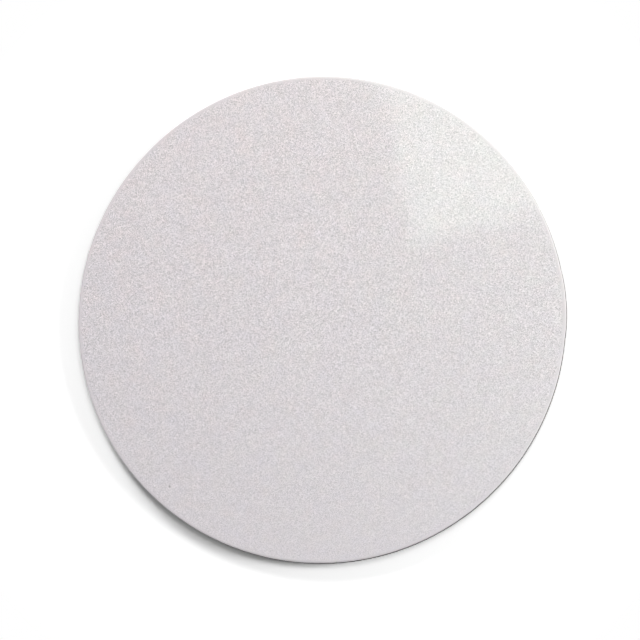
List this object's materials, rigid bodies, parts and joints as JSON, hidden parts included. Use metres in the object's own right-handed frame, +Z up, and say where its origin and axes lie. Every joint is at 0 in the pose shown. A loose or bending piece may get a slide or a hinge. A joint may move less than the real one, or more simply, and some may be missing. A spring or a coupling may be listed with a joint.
{
  "type": "cake board",
  "caption": "Thin round board for standing and carrying a cake: pearl-white film face with a rolled rim, plain cut greyboard edge and flat underside.",
  "frame": {"origin": "middle of the underside, on the disc's axis, at the level of the surface that it lies on", "axes": "+Z up out of the film face along the disc's axis, +Y towards the side that is uppermost in the picture, +X to its right"},
  "size_m": [0.2544, 0.254, 0.004],
  "materials": {
    "pearl_faced_board": "pearl-white laminated film with a fine grain on the face, bare cut greyboard at the edge, plain paper underneath"
  },
  "bodies": {
    "root": {"cake_board": "pearl_faced_board"}
  },
  "joints": []
}
